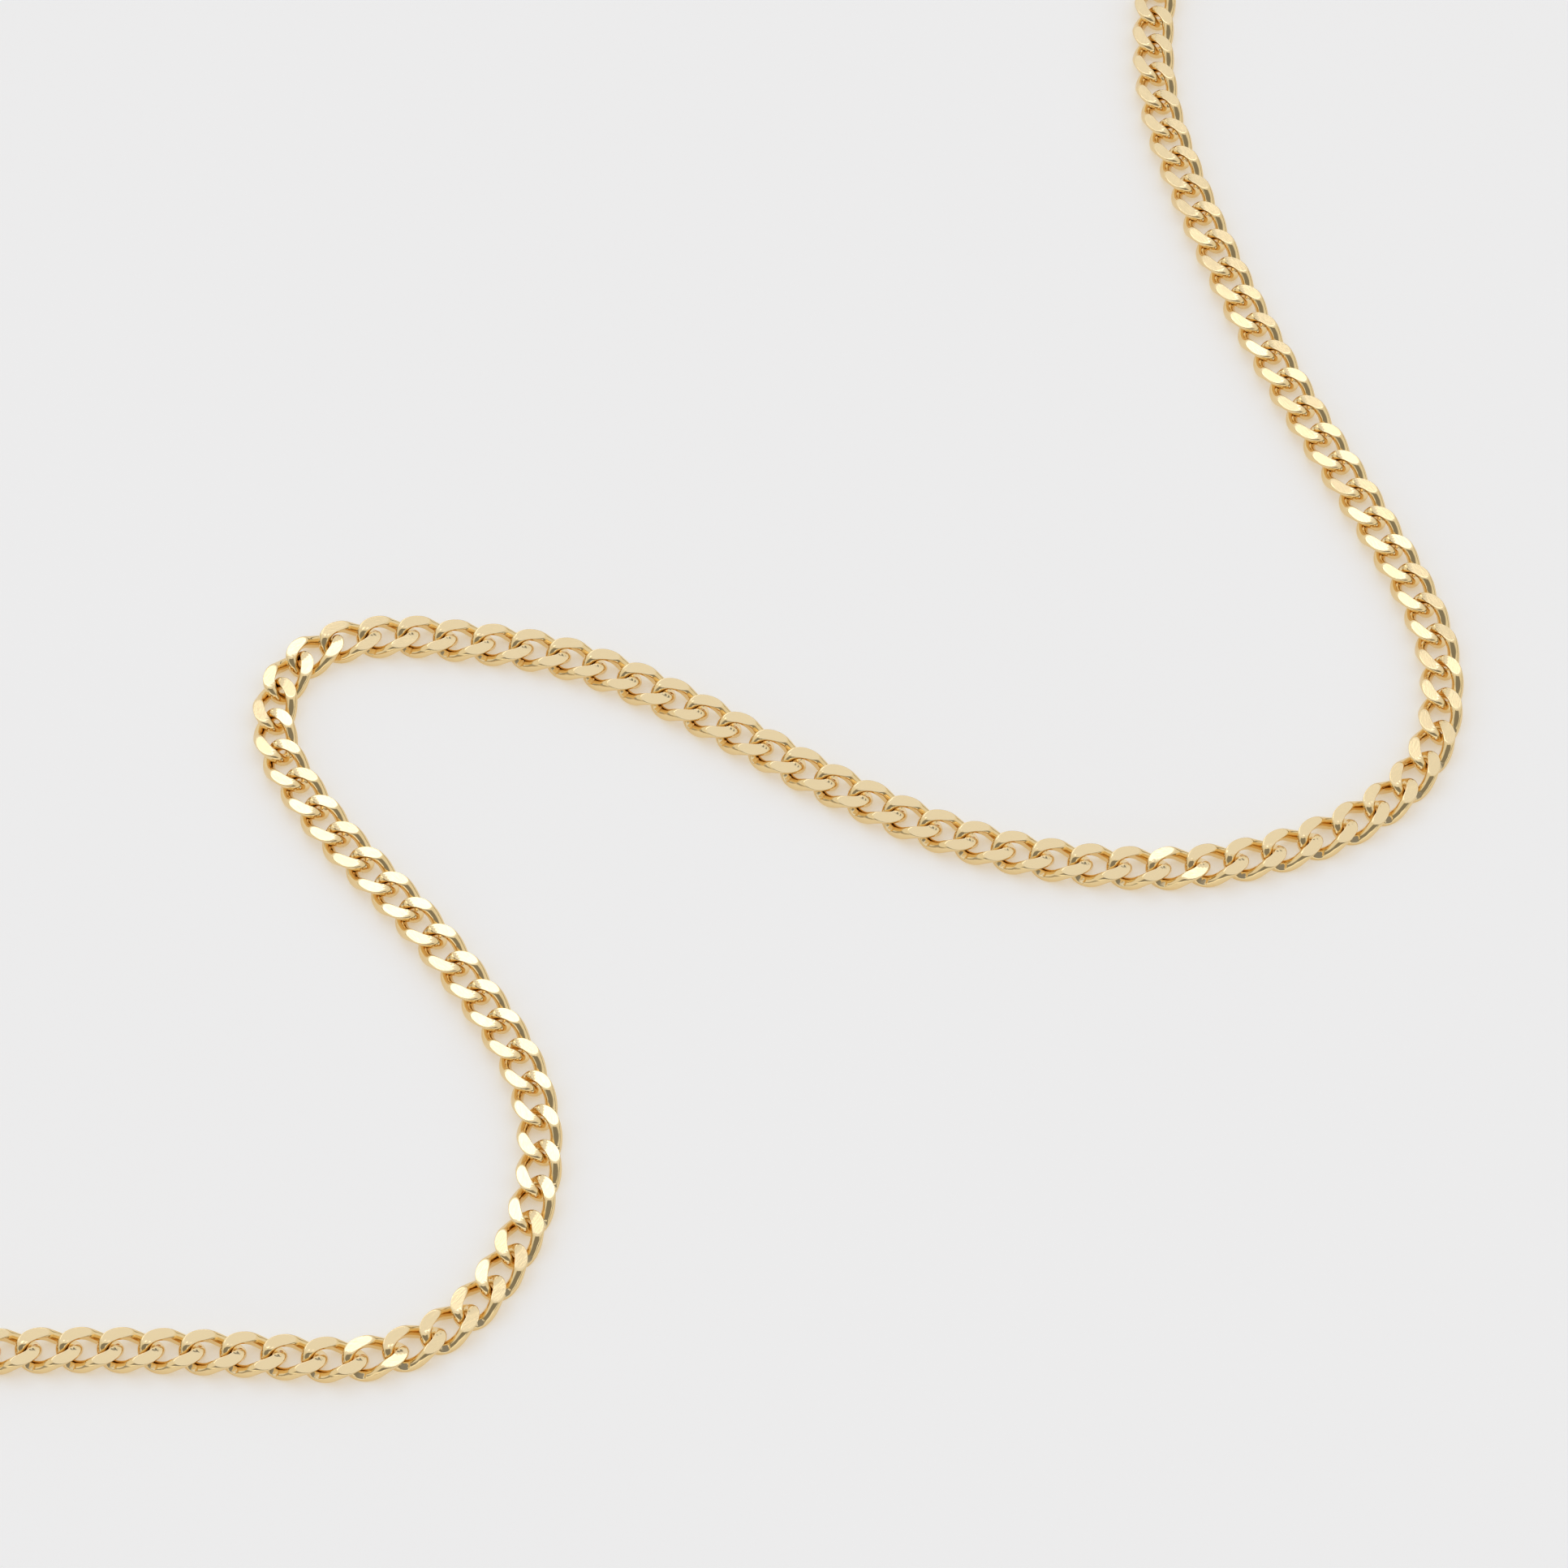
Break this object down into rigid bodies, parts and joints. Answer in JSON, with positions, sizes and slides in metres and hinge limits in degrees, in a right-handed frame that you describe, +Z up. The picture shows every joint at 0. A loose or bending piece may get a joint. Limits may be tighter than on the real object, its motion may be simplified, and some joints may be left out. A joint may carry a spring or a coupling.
{
  "type": "curb chain necklace",
  "caption": "Flat curb chain necklace of twisted, ground links, with a sprung lobster clasp, jump rings and a catch ring, lying unfastened on a table.",
  "frame": {"origin": "on the table, at the middle of the box round the laid-out necklace", "axes": "+Z up from the table; +X and +Y along the table, +Y away from the viewer; the middle link's length points 31 degrees clockwise of +X"},
  "size_m": [0.1511, 0.1838, 0.0037],
  "materials": {
    "gold": "polished gold plate, with bright ground flats",
    "spring_steel": "bare spring steel"
  },
  "bodies": {
    "chain_01": {"chain_01": "gold"},
    "chain_02": {"chain_02": "gold"},
    "chain_03": {"chain_03": "gold"},
    "chain_04": {"chain_04": "gold"},
    "chain_05": {"chain_05": "gold"},
    "chain_06": {"chain_06": "gold"},
    "chain_07": {"chain_07": "gold"},
    "chain_08": {"chain_08": "gold"},
    "chain_09": {"chain_09": "gold"},
    "chain_10": {"chain_10": "gold"},
    "chain_11": {"chain_11": "gold"},
    "chain_12": {"chain_12": "gold"},
    "chain_13": {"chain_13": "gold"},
    "chain_14": {"chain_14": "gold"},
    "chain_15": {"chain_15": "gold"},
    "chain_16": {"chain_16": "gold"},
    "chain_17": {"chain_17": "gold"},
    "chain_18": {"chain_18": "gold"},
    "chain_19": {"chain_19": "gold"},
    "chain_20": {"chain_20": "gold"},
    "chain_21": {"chain_21": "gold"},
    "chain_22": {"chain_22": "gold"},
    "chain_23": {"chain_23": "gold"},
    "chain_24": {"chain_24": "gold"},
    "chain_25": {"chain_25": "gold"},
    "chain_26": {"chain_26": "gold"},
    "chain_27": {"chain_27": "gold"},
    "chain_28": {"chain_28": "gold"},
    "chain_29": {"chain_29": "gold"},
    "chain_30": {"chain_30": "gold"},
    "chain_31": {"chain_31": "gold"},
    "chain_32": {"chain_32": "gold"},
    "chain_33": {"chain_33": "gold"},
    "chain_34": {"chain_34": "gold"},
    "chain_35": {"chain_35": "gold"},
    "chain_36": {"chain_36": "gold"},
    "chain_37": {"chain_37": "gold"},
    "chain_38": {"chain_38": "gold"},
    "chain_39": {"chain_39": "gold"},
    "chain_40": {"chain_40": "gold"},
    "chain_41": {"chain_41": "gold"},
    "chain_42": {"chain_42": "gold"},
    "chain_43": {"chain_43": "gold"},
    "chain_44": {"chain_44": "gold"},
    "chain_45": {"chain_45": "gold"},
    "chain_46": {"chain_46": "gold"},
    "chain_47": {"chain_47": "gold"},
    "chain_48": {"chain_48": "gold"},
    "chain_49": {"chain_49": "gold"},
    "chain_50": {"chain_50": "gold"},
    "clasp_jump_ring": {"clasp_jump_ring": "gold"},
    "clasp": {"clasp_body": "gold", "clasp_rivet": "gold", "clasp_spring": "spring_steel"},
    "clasp_lever": {"clasp_lever": "gold"},
    "end_jump_ring": {"end_jump_ring": "gold"},
    "catch_ring": {"catch_ring": "gold"}
  },
  "joints": [
    {"name": "bend_25_26", "type": "hinge", "parent": "chain_25", "child": "chain_26", "pos_m": [-0.00258, 0.00945, 0.00063], "axis": [0, 0, 1], "range_deg": [-19, 21]},
    {"name": "drape_26_27", "type": "hinge", "parent": "chain_26", "child": "chain_27", "pos_m": [0.00396, 0.00521, 0.00063], "axis": [0.515, 0.8572, 0], "range_deg": [-23, 23]},
    {"name": "bend_27_28", "type": "hinge", "parent": "chain_27", "child": "chain_28", "pos_m": [0.01084, 0.00154, 0.00063], "axis": [0, 0, -1], "range_deg": [-16, 24]},
    {"name": "drape_28_29", "type": "hinge", "parent": "chain_28", "child": "chain_29", "pos_m": [0.01825, -0.00086, 0.00063], "axis": [-0.2079, -0.9781, 0], "range_deg": [-22, 22]},
    {"name": "bend_29_30", "type": "hinge", "parent": "chain_29", "child": "chain_30", "pos_m": [0.026, -0.00168, 0.00063], "axis": [0, 0, -1], "range_deg": [-14, 25]},
    {"name": "drape_30_31", "type": "hinge", "parent": "chain_30", "child": "chain_31", "pos_m": [0.03368, -0.00046, 0.00063], "axis": [0.2965, -0.955, 0], "range_deg": [-21, 21]},
    {"name": "bend_31_32", "type": "hinge", "parent": "chain_31", "child": "chain_32", "pos_m": [0.04063, 0.00298, 0.00063], "axis": [0, 0, 1], "range_deg": [-28, 12]},
    {"name": "drape_32_33", "type": "hinge", "parent": "chain_32", "child": "chain_33", "pos_m": [0.04509, 0.00923, 0.00063], "axis": [-0.9613, 0.2756, 0], "range_deg": [-14, 14]},
    {"name": "bend_33_34", "type": "hinge", "parent": "chain_33", "child": "chain_34", "pos_m": [0.04522, 0.01697, 0.00063], "axis": [0, 0, 1], "range_deg": [-28, 11]},
    {"name": "drape_34_35", "type": "hinge", "parent": "chain_34", "child": "chain_35", "pos_m": [0.04256, 0.02429, 0.00063], "axis": [-0.9118, -0.4107, 0], "range_deg": [-23, 23]},
    {"name": "bend_35_36", "type": "hinge", "parent": "chain_35", "child": "chain_36", "pos_m": [0.03926, 0.03135, 0.00063], "axis": [0, 0, -1], "range_deg": [-19, 20]},
    {"name": "drape_36_37", "type": "hinge", "parent": "chain_36", "child": "chain_37", "pos_m": [0.03596, 0.03842, 0.00063], "axis": [0.9171, 0.3987, 0], "range_deg": [-23, 23]},
    {"name": "bend_37_38", "type": "hinge", "parent": "chain_37", "child": "chain_38", "pos_m": [0.03304, 0.04565, 0.00063], "axis": [0, 0, -1], "range_deg": [-21, 19]},
    {"name": "drape_38_39", "type": "hinge", "parent": "chain_38", "child": "chain_39", "pos_m": [0.0305, 0.05303, 0.00063], "axis": [0.9537, 0.3007, 0], "range_deg": [-23, 23]},
    {"name": "bend_39_40", "type": "hinge", "parent": "chain_39", "child": "chain_40", "pos_m": [0.02838, 0.06053, 0.00063], "axis": [0, 0, 1], "range_deg": [-15, 24]},
    {"name": "drape_40_41", "type": "hinge", "parent": "chain_40", "child": "chain_41", "pos_m": [0.02763, 0.06828, 0.00063], "axis": [-0.9998, 0.0218, 0], "range_deg": [-22, 22]},
    {"name": "bend_41_42", "type": "hinge", "parent": "chain_41", "child": "chain_42", "pos_m": [0.02851, 0.07602, 0.00063], "axis": [0, 0, 1], "range_deg": [-17, 23]},
    {"name": "drape_42_43", "type": "hinge", "parent": "chain_42", "child": "chain_43", "pos_m": [0.03135, 0.08322, 0.00063], "axis": [-0.8191, 0.5736, 0], "range_deg": [-18, 18]},
    {"name": "bend_43_44", "type": "hinge", "parent": "chain_43", "child": "chain_44", "pos_m": [0.03714, 0.08835, 0.00063], "axis": [0, 0, -1], "range_deg": [-29, 11]},
    {"name": "drape_44_45", "type": "hinge", "parent": "chain_44", "child": "chain_45", "pos_m": [0.04463, 0.09028, 0.00063], "axis": [0.0174, -0.9998, 0], "range_deg": [-18, 18]},
    {"name": "bend_45_46", "type": "hinge", "parent": "chain_45", "child": "chain_46", "pos_m": [0.05223, 0.08874, 0.00063], "axis": [0, 0, -1], "range_deg": [-26, 14]},
    {"name": "drape_46_47", "type": "hinge", "parent": "chain_46", "child": "chain_47", "pos_m": [0.05893, 0.08479, 0.00063], "axis": [-0.6361, -0.7716, 0], "range_deg": [-21, 21]},
    {"name": "bend_47_48", "type": "hinge", "parent": "chain_47", "child": "chain_48", "pos_m": [0.06408, 0.07897, 0.00063], "axis": [0, 0, 1], "range_deg": [-14, 26]},
    {"name": "drape_48_49", "type": "hinge", "parent": "chain_48", "child": "chain_49", "pos_m": [0.06768, 0.07205, 0.00063], "axis": [0.91, 0.4147, 0], "range_deg": [-23, 23]},
    {"name": "bend_49_50", "type": "hinge", "parent": "chain_49", "child": "chain_50", "pos_m": [0.07053, 0.0648, 0.00063], "axis": [0, 0, 1], "range_deg": [-18, 22]},
    {"name": "drape_24_25", "type": "hinge", "parent": "chain_25", "child": "chain_24", "pos_m": [-0.00931, 0.01339, 0.00063], "axis": [-0.4462, -0.8949, 0], "range_deg": [-22, 22]},
    {"name": "bend_23_24", "type": "hinge", "parent": "chain_24", "child": "chain_23", "pos_m": [-0.01664, 0.01599, 0.00063], "axis": [0, 0, -1], "range_deg": [-14, 25]},
    {"name": "drape_22_23", "type": "hinge", "parent": "chain_23", "child": "chain_22", "pos_m": [-0.02437, 0.017, 0.00063], "axis": [-0.0349, -0.9994, 0], "range_deg": [-18, 18]},
    {"name": "bend_21_22", "type": "hinge", "parent": "chain_22", "child": "chain_21", "pos_m": [-0.03164, 0.01486, 0.00063], "axis": [0, 0, -1], "range_deg": [0, 44]},
    {"name": "drape_20_21", "type": "hinge", "parent": "chain_21", "child": "chain_20", "pos_m": [-0.03275, 0.00749, 0.00063], "axis": [-0.9412, -0.3379, 0], "range_deg": [-9, 9]},
    {"name": "bend_19_20", "type": "hinge", "parent": "chain_20", "child": "chain_19", "pos_m": [-0.02862, 0.00088, 0.00063], "axis": [0, 0, 1], "range_deg": [-23, 16]},
    {"name": "drape_18_19", "type": "hinge", "parent": "chain_19", "child": "chain_18", "pos_m": [-0.02358, -0.00506, 0.00063], "axis": [-0.7771, -0.6293, 0], "range_deg": [-23, 23]},
    {"name": "bend_17_18", "type": "hinge", "parent": "chain_18", "child": "chain_17", "pos_m": [-0.01899, -0.01137, 0.00063], "axis": [0, 0, 1], "range_deg": [-18, 22]},
    {"name": "drape_16_17", "type": "hinge", "parent": "chain_17", "child": "chain_16", "pos_m": [-0.01536, -0.01825, 0.00063], "axis": [0.955, 0.2965, 0], "range_deg": [-19, 19]},
    {"name": "bend_15_16", "type": "hinge", "parent": "chain_16", "child": "chain_15", "pos_m": [-0.01476, -0.02597, 0.00063], "axis": [0, 0, -1], "range_deg": [-28, 11]},
    {"name": "drape_14_15", "type": "hinge", "parent": "chain_15", "child": "chain_14", "pos_m": [-0.01753, -0.0332, 0.00063], "axis": [0.8339, -0.5519, 0], "range_deg": [-19, 19]},
    {"name": "bend_13_14", "type": "hinge", "parent": "chain_14", "child": "chain_13", "pos_m": [-0.02348, -0.03801, 0.00063], "axis": [0, 0, -1], "range_deg": [-33, 6]},
    {"name": "drape_12_13", "type": "hinge", "parent": "chain_13", "child": "chain_12", "pos_m": [-0.03121, -0.03826, 0.00063], "axis": [0.0785, 0.9969, 0], "range_deg": [-23, 23]},
    {"name": "bend_11_12", "type": "hinge", "parent": "chain_12", "child": "chain_11", "pos_m": [-0.039, -0.03785, 0.00063], "axis": [0, 0, 1], "range_deg": [-21, 19]},
    {"name": "drape_10_11", "type": "hinge", "parent": "chain_11", "child": "chain_10", "pos_m": [-0.0468, -0.03785, 0.00063], "axis": [-0.0262, 0.9997, 0], "range_deg": [-23, 23]},
    {"name": "bend_09_10", "type": "hinge", "parent": "chain_10", "child": "chain_09", "pos_m": [-0.0546, -0.03812, 0.00063], "axis": [0, 0, 1], "range_deg": [-20, 20]},
    {"name": "drape_08_09", "type": "hinge", "parent": "chain_09", "child": "chain_08", "pos_m": [-0.06234, -0.0388, 0.00063], "axis": [0.2672, -0.9636, 0], "range_deg": [-18, 18]},
    {"name": "bend_07_08", "type": "hinge", "parent": "chain_08", "child": "chain_07", "pos_m": [-0.06911, -0.04255, 0.00063], "axis": [0, 0, -1], "range_deg": [-11, 29]},
    {"name": "drape_06_07", "type": "hinge", "parent": "chain_07", "child": "chain_06", "pos_m": [-0.07344, -0.04897, 0.00063], "axis": [0.9367, -0.3502, 0], "range_deg": [-18, 18]},
    {"name": "bend_05_06", "type": "hinge", "parent": "chain_06", "child": "chain_05", "pos_m": [-0.07438, -0.05664, 0.00063], "axis": [0, 0, -1], "range_deg": [-14, 26]},
    {"name": "drape_04_05", "type": "hinge", "parent": "chain_05", "child": "chain_04", "pos_m": [-0.0725, -0.06418, 0.00063], "axis": [-0.9205, -0.3907, 0], "range_deg": [-21, 21]},
    {"name": "bend_03_04", "type": "hinge", "parent": "chain_04", "child": "chain_03", "pos_m": [-0.06838, -0.07078, 0.00063], "axis": [0, 0, 1], "range_deg": [-26, 14]},
    {"name": "drape_02_03", "type": "hinge", "parent": "chain_03", "child": "chain_02", "pos_m": [-0.06253, -0.07592, 0.00063], "axis": [-0.6018, -0.7986, 0], "range_deg": [-23, 23]},
    {"name": "bend_01_02", "type": "hinge", "parent": "chain_02", "child": "chain_01", "pos_m": [-0.05607, -0.08028, 0.00063], "axis": [0, 0, 1], "range_deg": [-22, 18]},
    {"name": "clasp_ring_swing", "type": "hinge", "parent": "chain_01", "child": "clasp_jump_ring", "pos_m": [-0.0488, -0.08413, 0.00127], "axis": [0.3731, 0.5182, -0.7696], "range_deg": [-20, 20]},
    {"name": "clasp_swing", "type": "hinge", "parent": "clasp_jump_ring", "child": "clasp", "pos_m": [-0.04809, -0.08477, 0.0012], "axis": [0.4384, 0.8988, 0], "range_deg": [-20, 25]},
    {"name": "end_ring_swing", "type": "hinge", "parent": "chain_50", "child": "end_jump_ring", "pos_m": [0.07272, 0.05687, 0.00127], "axis": [0.6372, 0.0417, -0.7696], "range_deg": [-20, 20]},
    {"name": "catch_ring_swing", "type": "hinge", "parent": "end_jump_ring", "child": "catch_ring", "pos_m": [0.07226, 0.05598, 0.0011], "axis": [0.9724, 0.2334, 0], "range_deg": [-30, 30]},
    {"name": "lever_pivot", "type": "hinge", "parent": "clasp", "child": "clasp_lever", "pos_m": [-0.04356, -0.0886, 0.0012], "axis": [0, 0, 1], "range_deg": [0, 35], "stiffness_Nm_per_rad": 0.002, "springref_deg": -20.05}
  ]
}
